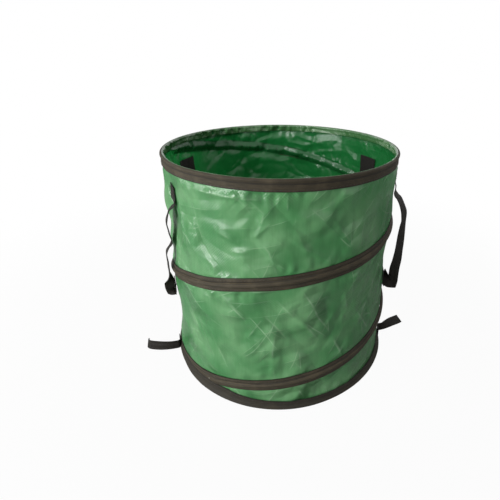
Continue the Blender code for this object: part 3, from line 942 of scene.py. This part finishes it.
def buildCoil():
    turned = np.linspace(coil["first"], coil["last"], coil["steps"])
    shares = np.array([-share for share in coil["rows"][::-1]] + coil["rows"])
    reach = shares * coil["band"] / 2
    line = onRound(math.pi - turned, hoop, coilHeight(turned))
    across = reach * (1 + drift(line, 105, 0.05, 0.02)) + drift(line, 101, 0.11, 0.0006)
    angle, radius, height = coilSurface(turned[:, None], across)
    outer = onRound(angle, radius - (np.abs(shares) > 0.96) * coil["edgeDrop"], height)
    drop = coil["edgeDrop"] * smoothStep((np.abs(shares) - 0.7) / 0.2)
    inner = onRound(angle, radius - bag["tape"] - drop, height)
    # painted shade: dark at the edges and in the dips beside the ridge
    groove = np.exp(-((np.abs(shares) - 0.43) / 0.05) ** 2)
    wear = np.stack([clamp((np.abs(shares) - 0.88) / 0.1), groove], -1)
    tape = slabPiece("coilTape", outer, inner, runOf(line), reach, wear)
    placed(tape, "coil_tape", "binding_tape", "base", "coil")

    middle = turned[(turned > coil["wireFirst"]) & (turned < coil["wireLast"])][::2]
    angle, height = math.pi - middle, coilHeight(middle)
    radius = hoop - waist(angle, height) + bag["outside"] + bag["pocket"] - bag["clearance"]
    radius = radius + tapeDrift(angle, height)
    wire = onRound(angle[:, None], radius[:, None] + coil["wireRadius"] * np.cos(ring(8)),
                   height[:, None] + coil["wireRadius"] * np.sin(ring(8)))
    spring = gridPiece("coilWire", wire, closedAcross=True, capped=True)
    placed(spring, "coil_spring_wire", "spring_wire", "base", "coil")
    return wire, turned


coilWireGrid, coilTurns = buildCoil()

# the crimped sleeve on each end of the wire: along it and radius, in mm, with a rounded nose
tipOutline = [(-0.9, 0.4), (-0.8, 1.1), (-0.4, 1.7), (1, 2.0), (3, 2.0), (3.6, 1.75), (4.6, 1.75), (5.2, 2.0),
              (8.5, 2.0), (10.5, 1.9), (11, 1.6)]


def wireTip(name, node, ringEnd, ringNext):
    end, following = ringEnd.mean(0), ringNext.mean(0)
    along = unit(following - end)
    side = unit(np.cross(along, (0, 0, 1)))
    around = np.cos(ring(12))[:, None] * side + np.sin(ring(12))[:, None] * np.cross(side, along)
    rows = [end + along * place / 1000 + size / 1000 * around for place, size in tipOutline]
    tip = gridPiece(name, np.array(rows), closedAcross=True, capped=True)
    placed(tip, node, "crimp", "base", "coil")


wireTip("coilTipUpper", "coil_tip_upper", coilWireGrid[0], coilWireGrid[4])
wireTip("coilTipLower", "coil_tip_lower", coilWireGrid[-1], coilWireGrid[-5])
print("coil made")


stitching = {
    "pitch": 0.0062,
    "long": 0.0043,
    "thick": 0.0007,
    "above": 0.0001,
    "sides": 6,
    "fromRimEdge": 0.0026,     # from the tapes' edges to their rows
    "fromBaseEdge": 0.0024,
    "fromCoilMiddle": 0.0086,
    # share of the length, how far above the cloth and how wide, both in half thicknesses
    "rings": [(0.0, -0.9, 0.55), (0.12, 0.0, 0.9), (0.5, 0.35, 1.0), (0.88, 0.0, 0.9), (1.0, -0.9, 0.55)],
}


def stitchRow(name, places, outward, body, fold=None, size=1.0):
    # places: points along the row; outward: directions away from the cloth
    run = runOf(places[:, None])[:, 0]
    count = int(run[-1] / (stitching["pitch"] * size))
    starts = (np.arange(count) + 0.5) * run[-1] / count
    ends = starts + stitching["long"] * size
    half = stitching["thick"] / 2 * (0.6 + 0.4 * size)

    def at(rows, distance):
        return np.stack([np.interp(distance, run, rows[:, k]) for k in range(3)], -1)

    normal = unit(at(outward, starts))
    side = np.cross(unit(at(places, ends) - at(places, starts)), normal)
    turn = ring(stitching["sides"])[None, :, None]
    around = np.cos(turn) * normal[:, None] + np.sin(turn) * side[:, None]
    rows = []
    for share, sink, wide in stitching["rings"]:
        centre = at(places, starts + (ends - starts) * share) + normal * sink * half
        rows.append(centre[:, None] + wide * half * around)
    points = np.stack(rows, 1)
    each = len(rows) * stitching["sides"]
    oneStitch = gridFaces(len(rows), stitching["sides"], closedAcross=True, capped=True)[2]
    faces = [[first + k for k in face] for first in range(0, count * each, each) for face in oneStitch]
    mesh = newMesh(name, points, faces)
    outsideOut(mesh)
    mesh.materials.append(threadMaterial)
    carried(newObject(name, mesh), body, fold)


def stitchRound(name, angle, radius, height, body, fold=None, size=1.0):
    places = onRound(angle, radius + stitching["above"], height)
    stitchRow(name, places, onRound(angle, np.ones_like(angle), 0.0), body, fold, size)


allRound = np.linspace(0, fullTurn, 721)
stitchRound("rimStitching", allRound, tapeFace, rimWireHeight - rim["tapeLeg"] + stitching["fromRimEdge"],
            "rim")
seamHeight = bandShape(allRound)[1] - stitching["fromBaseEdge"]
stitchRound("baseStitching", allRound, bandFace(allRound, seamHeight), seamHeight, "base")
for name, above, last in (("coilStitchingUpper", 1, 668), ("coilStitchingLower", -1, 652)):
    sewn = coilTurns[(coilTurns > math.radians(24)) & (coilTurns < math.radians(last))]
    across = np.full_like(sewn, above * stitching["fromCoilMiddle"])
    stitchRound(name, *coilSurface(sewn, across), "base", "coil")
print("stitching made")


strap = {
    "width": 0.020,
    "thick": 0.0014,
    "gap": 0.0006,
    "loopSteps": 190,
    "sewnRows": 10,
    "freeRows": (0.14, 0.3, 0.5, 0.75, 1.0),
    "columns": 9,
    "boxSteps": 12,            # points along each line of the box of stitches
    "boxInset": 0.003,
    "boxShare": 0.76,          # of the webbing's width
    "boxStitch": 0.55,         # its stitches' size beside those of the seams
    "above": 0.0002,           # extra room over the wall's cloth, for the thread
    "foldedBack": 100,         # degrees; past this turn a fold's corner isn't widened
}

# underside of a strap's rounded section, as shares of half its width and half its thickness
strapUnder = np.array([(-1.0, -0.45), (-0.985, -0.85), (-0.93, -1), (-0.5, -1.03), (0, -1.05), (0.5, -1.03),
                       (0.93, -1), (0.985, -0.85), (1.0, -0.45)])


def strapPiece(name, path, across, width=strap["width"], thick=strap["thick"]):
    # path: (n, 3) points; across: (n, 3) directions over the width, a length above 1 widens a fold's corner
    face = unit(np.cross(unit(np.gradient(path, axis=0)), across))
    shares = np.concatenate([strapUnder, -strapUnder])
    out, up = (shares * (width / 2, thick / 2)).T[..., None]
    grid = path[:, None] + out * across[:, None] + up * face[:, None]
    uvs = gridPairs(runOf(path[:, None])[:, 0], np.append(out, out[0]))
    # painted shade on the strap's rounded edges
    edge = clamp((np.abs(shares[:, 0]) - 0.9) / 0.1)
    return gridPiece(name, grid, uvs, np.stack([edge, edge * 0], -1), closedAcross=True, capped=True)


def smoothPath(rows, count):
    rows = np.asarray(rows, float)
    spots = np.linspace(0, len(rows) - 1, count)
    return np.stack([smoothValue(rows[:, k], spots) for k in range(rows.shape[1])], -1)


# "loop": mm out from the line between the sewn ends, share of that line's length up, twist in degrees and,
# where the loop's bottom corner is turned, by how many degrees
# "tabs": degrees round the bag, lean, the shares of the height where the sewing begins and stops and where
# the loop begins, and how far out that is, in metres
upperShares = (0.900, 0.853, 0.835)
handles = {
    "right": {
        "foot": (0.22458, -0.03156, 0.13578), "out": (0.99027, -0.13917, 0.0), "up": (0.0, 0.0, 1.0),
        "rise": 0.2246,
        "loop": [(0.4, 1.0, 4), (1.2, 0.972, 8), (1.0, 0.935, 18), (4.9, 0.901, 28), (9.7, 0.879, 33),
                 (15.0, 0.838, 33), (19.0, 0.797, 36), (22.4, 0.755, 40), (23.9, 0.713, 39), (24.5, 0.669, 36),
                 (23.9, 0.625, 41), (23.5, 0.536, 51), (23.4, 0.446, 57), (22.8, 0.353, 62), (21.6, 0.258, 77),
                 (19.4, 0.181, 90), (18.9, 0.112, 100), (19.0, 0.063, 102), (18.7, 0.034, 102, 8),
                 (16.8, 0.008, 101, 40), (12.8, 0.002, 98, 75), (9.2, 0.004, 94, 100), (7.2, 0.016, 88, 140),
                 (6.3, 0.035, 80, 175), (5.4, 0.062, 68, 180), (4.5, 0.088, 48, 180), (3.9, 0.11, 26, 180),
                 (3.4, 0.132, 8, 180)],
        "tabs": {"Upper": (-8.0, 0.0, upperShares, 0.2270),
                 "Lower": (-8.0, -0.15, (0.400, 0.333, 0.315), 0.2268)},
    },
    "left": {
        "foot": (-0.21356, -0.06939, 0.13578), "out": (-0.90259, -0.43051, 0.0),
        "up": (0.1087, -0.2279, 0.9676),
        "rise": 0.2321,
        "loop": [(-6.5, 1.0, -2), (-7.6, 0.978, 3), (-6.9, 0.96, 17), (-4.6, 0.942, 30), (-0.5, 0.926, 27),
                 (2.9, 0.893, 16), (5.2, 0.855, 12), (7.4, 0.807, 5), (6.4, 0.756, -2), (4.3, 0.693, -2),
                 (2.7, 0.647, -3), (0.8, 0.608, 6), (3.7, 0.576, 21), (8.3, 0.531, 20), (11.5, 0.492, 8),
                 (11.0, 0.435, 0), (10.1, 0.355, 0), (9.8, 0.295, 0), (9.9, 0.245, 10), (10.2, 0.208, 35),
                 (10.4, 0.172, 66), (10.5, 0.142, 90), (10.3, 0.112, 98, 3), (9.4, 0.084, 98, 18),
                 (7.0, 0.066, 86, 40), (4.4, 0.052, 62, 50), (2.8, 0.042, 34, 60), (1.4, 0.032, 10, 100),
                 (0.5, 0.024, 3, 140), (0.0, 0.022, 0, 180)],
        "tabs": {"Upper": (213.0, 0.261, upperShares, 0.2181),
                 "Lower": (198.0, 0.261, (0.400, 0.345, 0.326), 0.2246)},
    },
}


def buildHandle(name, side):
    foot, out, up = (np.array(side[k]) for k in ("foot", "out", "up"))
    sideways = np.cross(up, out)
    rows = smoothPath([(*row, 0)[:4] for row in side["loop"]], strap["loopSteps"])
    path = foot + rows[:, :1] / 1000 * out + rows[:, 1:2] * side["rise"] * up
    twist, turned = np.radians(rows[:, 2:3]), np.radians(rows[:, 3:4])
    corner = 1 / np.maximum(np.abs(np.cos(turned)), np.abs(np.sin(turned)))
    corner = np.where(np.degrees(turned) > strap["foldedBack"], 1.0, corner)
    across = np.cos(twist) * sideways + np.sin(twist) * corner * (np.cos(turned) * out - np.sin(turned) * up)
    piece = strapPiece(name + "HandleWebbing", path, across)
    placed(piece, "handle_" + name, "webbing", name + "_handle", "handle")


def wallFace(angle, height):
    return hoop - waist(angle, height) + clothOffset(angle, height)[0]


def buildTab(name, end, degrees, lean, shares, line):
    # webbing sewn flat on the wall from high to low, then out to the handle's loop
    high, low, loop = (bag["height"] * share for share in shares)
    free = low - np.array(strap["freeRows"]) * (low - loop)
    rows = strap["sewnRows"]
    heights = np.concatenate([np.linspace(high, low, rows), free])
    middle = math.radians(degrees) + lean * (heights - loop) / hoop
    shares = np.linspace(-1, 1, strap["columns"])
    spread = shares * strap["width"] / 2 / hoop
    flat = wallFace(middle[:rows, None] + spread, heights[:rows, None])
    onWall = np.maximum(flat, np.median(flat)) + bag["outside"] + strap["above"]
    away = (((low - free) / (low - loop)) ** 1.2)[:, None]
    inner = np.concatenate([onWall, onWall[-1] + (line - strap["thick"] / 2 - onWall[-1]) * away])
    height = heights[:, None] - lean * hoop * spread
    faces = (inner, inner + strap["thick"])
    front, back = (onRound(middle[:, None] + spread, radius, height) for radius in faces)
    # painted shade along the tab's edges
    edge = clamp((np.abs(shares) - 0.72) / 0.28)
    place, fold = name + "HandleTab" + end, end.lower() + "Tab"
    piece = slabPiece(place, front, back, high - heights, spread * hoop, np.stack([edge, edge * 0], -1))
    placed(piece, f"handle_tab_{end.lower()}_{name}", "webbing", "base", fold)
    # a box of stitches with its cross
    side, inset, steps = strap["width"] / 2 * strap["boxShare"], strap["boxInset"], strap["boxSteps"]
    tall = high - low - 2 * inset
    corners = [(-side, tall), (side, tall), (side, 0), (-side, 0), (-side, tall), (side, 0)]
    reach = float(onWall.max()) + strap["thick"]
    for k, (a, b) in enumerate(zip(corners, corners[1:])):
        across, rise = np.linspace(a[0], b[0], steps), np.linspace(a[1], b[1], steps) + low + inset
        angles = math.radians(degrees) + (across + lean * (rise - loop)) / hoop
        sewn, outward = onRound(angles, reach, rise - lean * across), onRound(angles, 1.0, 0.0)
        stitchRow(f"{place}Stitching{k}", sewn, outward, "base", fold, strap["boxStitch"])


for name, side in handles.items():
    buildHandle(name, side)
    for end, tab in side["tabs"].items():
        buildTab(name, end, *tab)
print("handles made")


# closing straps: webbing on its edge on the ground; "sewn" is where its root lies on the base band, in
# degrees, "hinge" where it leaves, and "path" goes on from there, in metres
closingStraps = {
    "right": {
        "sewn": (-10.5, -6.2), "bend": (0.2289, -0.0222), "hinge": (0.23551, -0.0206),
        "path": [(0.2400, -0.0188), (0.2489, -0.0146), (0.2580, -0.0105), (0.2670, -0.0066), (0.2745, -0.0030),
                 (0.2795, -0.0004), (0.2835, 0.0022)],
        "padShares": (0.45, 0.85), "back": -1, "lean": -0.62, "lift": 0.0042, "cut": 0.42,
    },
    "left": {
        "sewn": (195.0, 199.4), "bend": (-0.2166, -0.0790), "hinge": (-0.22227, -0.0809),
        "path": [(-0.2300, -0.0826), (-0.2400, -0.0838), (-0.2500, -0.0842), (-0.2600, -0.0838),
                 (-0.2700, -0.0828), (-0.2780, -0.0810), (-0.2828, -0.0780), (-0.2843, -0.0745),
                 (-0.2831, -0.0718)],
        "padShares": (0.40, 0.68), "back": 1, "lean": 0.20, "lift": 0.0, "cut": 0.0,
    },
}
padSize = (0.016, 0.0011)
strapSteps = 70
rootHeight, rootAbove = 0.006, 0.0009     # where a root lies on the base band
bendSteps, bendPart = 60, slice(15, 46)


def buildClosingStrap(name, side):
    body = name + "_strap"
    upright = strap["width"] / 2 + strap["gap"]
    rows = smoothPath([side["hinge"]] + side["path"], strapSteps)
    share = np.linspace(0, 1, strapSteps)
    path = np.column_stack([rows, upright + side["lift"] * smoothStep(share / 0.6)])
    ahead = unit(np.gradient(path, axis=0))
    sideways = np.cross(ahead, (0.0, 0.0, 1.0))
    across = unit(np.array([0.0, 0.0, 1.0]) + side["lean"] * smoothStep(share / 0.5)[:, None] * sideways)
    across -= side["cut"] * smoothStep((share - 0.8) / 0.2)[:, None] * ahead
    piece = strapPiece(name + "ClosingStrap", path, across)
    placed(piece, "closing_strap_" + name, "webbing", body)
    # hook and loop pad sewn on the strap's back
    part = slice(*(int(share * strapSteps) for share in side["padShares"]))
    back = path[part] + side["back"] * sideways[part] * (strap["thick"] / 2 + strap["gap"])
    pad = strapPiece(name + "StrapHookPad", back, across[part], *padSize)
    placed(pad, "strap_hook_pad_" + name, "hook_and_loop", body)
    # the sewn root lies on the base band and turns off it to the strap
    angles = np.radians(np.linspace(*side["sewn"], 12))
    onBand = onRound(angles, bandFace(angles, rootHeight) + strap["thick"] / 2 + rootAbove, 0.0)[:, :2]
    bend = smoothPath([*onBand[-2:], side["bend"], side["hinge"], side["path"][0]], bendSteps)[bendPart]
    root = np.concatenate([onBand[:-1], bend])
    root = np.column_stack([root, np.full(len(root), upright)])
    piece = strapPiece(name + "StrapRoot", root, np.tile([0.0, 0.0, 1.0], (len(root), 1)))
    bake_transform(piece)
    placed(piece, "strap_tab_" + name, "webbing")


for name, side in closingStraps.items():
    buildClosingStrap(name, side)
print("closing straps made")


patches = {
    "right": (19.0, 32.0),     # degrees round the bag
    "left": (153.0, 167.0),
    "top": 0.885,
    "tall": 0.048,
    "thick": 0.0012,
    "grid": (15, 13),
    "farthest": 0.001,         # beyond the wall's smooth shape
    "thinEdge": 0.75,          # share of the thickness lost at the edge
    "puff": 0.0004,
}


def buildPatch(name):
    # felt pads inside the wall that take the straps
    columns, rows = patches["grid"]
    angles = np.linspace(*np.radians(patches[name]), columns)
    top = bag["height"] * patches["top"]
    heights = np.linspace(top, top - patches["tall"], rows)
    angle, height = gridOf(angles, heights)
    farthest = hoop - waist(angle, height) + patches["farthest"]
    face = np.minimum(wallFace(angle, height), farthest) - bag["outside"]
    fromEdge = [np.minimum(np.arange(count), np.arange(count)[::-1]) for count in (columns, rows)]
    soft = 1 - patches["thinEdge"] * np.exp(-np.minimum.outer(*fromEdge) * 0.9)
    front = onRound(angle, face, height)
    back = face - patches["thick"] * soft - patches["puff"] * ripple(front, 151, 0.02)
    patch = slabPiece(name + "ClosurePatch", front, onRound(angle, back, height), angles * hoop, heights)
    placed(patch, "closure_patch_" + name, "hook_and_loop", "base", "wall")


for name in ("right", "left"):
    buildPatch(name)
print("closure patches made")


# the hoops under the bands keep their CAD shapes
for node, slotName in (("rim_hoop_wire", "spring_wire"), ("base_hoop_wire", "spring_wire"),
                       ("rim_hoop_sleeve", "crimp"), ("base_hoop_sleeve", "crimp")):
    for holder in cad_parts[node].material_slots:
        holder.link = "OBJECT"
        holder.material = materials[slotName]


studio = {
    "world": 0.20,
    # a big window at the left, a softened sun in it, and a weak fill from the right; angles in degrees
    "sun": {"power": 1.3, "softness": 12, "azimuth": 222, "elevation": 26},
    "window": {"azimuth": 213, "distance": 1.35, "height": 0.50, "size": (0.8, 0.6), "power": 14.0},
    "fill": {"place": (1.3, -1.6, 0.9), "size": 1.6, "power": 2.5},
    "floor": "#b4b4b4",
    "floorSize": 30.0,
    "floorWhite": 0.96,        # share of plain white that the camera sees on the floor beside the bag
    "fadeOut": (0.4, 1.2),     # how far from the bag the floor turns to plain white
}


def addLamp(name, kind, towards, place=(0, 0, 0)):
    lamp = bpy.data.lights.new(name + "Light", kind)
    lamp.energy = studio[name]["power"]
    holder = newObject(name + "Light", lamp)
    holder.location = place
    holder.rotation_euler = Vector(towards).to_track_quat("Z", "Y").to_euler()
    return lamp


def buildLamps():
    sun, window, fill = (studio[name] for name in ("sun", "window", "fill"))
    azimuth, elevation = math.radians(sun["azimuth"]), math.radians(sun["elevation"])
    level = math.cos(elevation)
    towards = (math.cos(azimuth) * level, math.sin(azimuth) * level, math.sin(elevation))
    addLamp("sun", "SUN", towards).angle = math.radians(sun["softness"])
    azimuth, reach = math.radians(window["azimuth"]), window["distance"]
    place = Vector((reach * math.cos(azimuth), reach * math.sin(azimuth), window["height"]))
    aim = Vector((0, 0, 0.2))
    lamp = addLamp("window", "AREA", place - aim, place)
    lamp.shape = "RECTANGLE"
    lamp.size, lamp.size_y = window["size"]
    place = Vector(fill["place"])
    lamp = addLamp("fill", "AREA", place - aim, place)
    lamp.shape = "DISK"
    lamp.size = fill["size"]


def buildWorld():
    world = bpy.data.worlds.new("studio")
    bpy.context.scene.world = world
    world.use_nodes = True
    tree = world.node_tree
    tree.nodes.clear()
    rays = addNode(tree, "LightPath").outputs
    seen = mathOf("MAXIMUM", rays["Is Camera Ray"], rays["Is Glossy Ray"])
    seen = mathOf("MAXIMUM", seen, rays["Is Transmission Ray"])
    strength = mathOf("MULTIPLY_ADD", seen, 1 - studio["world"], studio["world"])
    light = addNode(tree, "Background", {"Color": (1, 1, 1, 1), "Strength": strength}).outputs[0]
    addNode(tree, "OutputWorld", {"Surface": light})


def paleFloor(tree):
    # painted board: keeps the shadow near the bag and runs out into white
    place = addNode(tree, "TexCoord").outputs["Object"]
    distance = addNode(tree, "VectorMath", {0: place}, operation="LENGTH").outputs["Value"]
    share = rangeOf(distance, *studio["fadeOut"], studio["floorWhite"], 1.0)
    share = times(addNode(tree, "LightPath").outputs["Is Camera Ray"], share)
    mixIn(tree, share, addNode(tree, "Emission", {"Color": (1, 1, 1, 1), "Strength": 1.0}))
    return {"Base Color": studio["floor"], "Roughness": 0.9}


def buildFloor():
    size = studio["floorSize"]
    corners = [(-size, -size, 0), (size, -size, 0), (size, size, 0), (-size, size, 0)]
    floor = newObject("floor", newMesh("floor", corners, [(0, 1, 2, 3)]))
    floor.location.z = -0.0002
    floor.data.materials.append(newMaterial("pale studio floor", paleFloor))


# fitted to the ellipses of the rim and the base: places in radii of the rim, angles in radians, focal length
# in pixels
photoCamera = {
    "unit": 0.225,
    "away": 3.12345712,
    "above": 2.60686057,
    "down": 0.369141852,
    "roll": 0.00378677,
    "focal": 364.907,
    "pixels": 500,
    "shift": (-0.0592, -0.10),
}


def buildCamera():
    fit = photoCamera
    lens = bpy.data.cameras.new("photo camera")
    camera = newObject("photo camera", lens)
    lens.sensor_width = 36
    lens.lens = lens.sensor_width * fit["focal"] / fit["pixels"]
    lens.shift_x, lens.shift_y = fit["shift"]
    lens.clip_start, lens.clip_end = 0.02, 60
    camera.location = (0, -fit["away"] * fit["unit"], fit["above"] * fit["unit"])
    camera.rotation_euler = (math.pi / 2 - fit["down"], 0, 0)
    camera.rotation_euler.rotate_axis("Z", fit["roll"])
    bpy.context.scene.camera = camera


buildWorld()
buildLamps()
buildFloor()
buildCamera()
bpy.context.scene.view_settings.view_transform = "Standard"
print("studio and camera made")
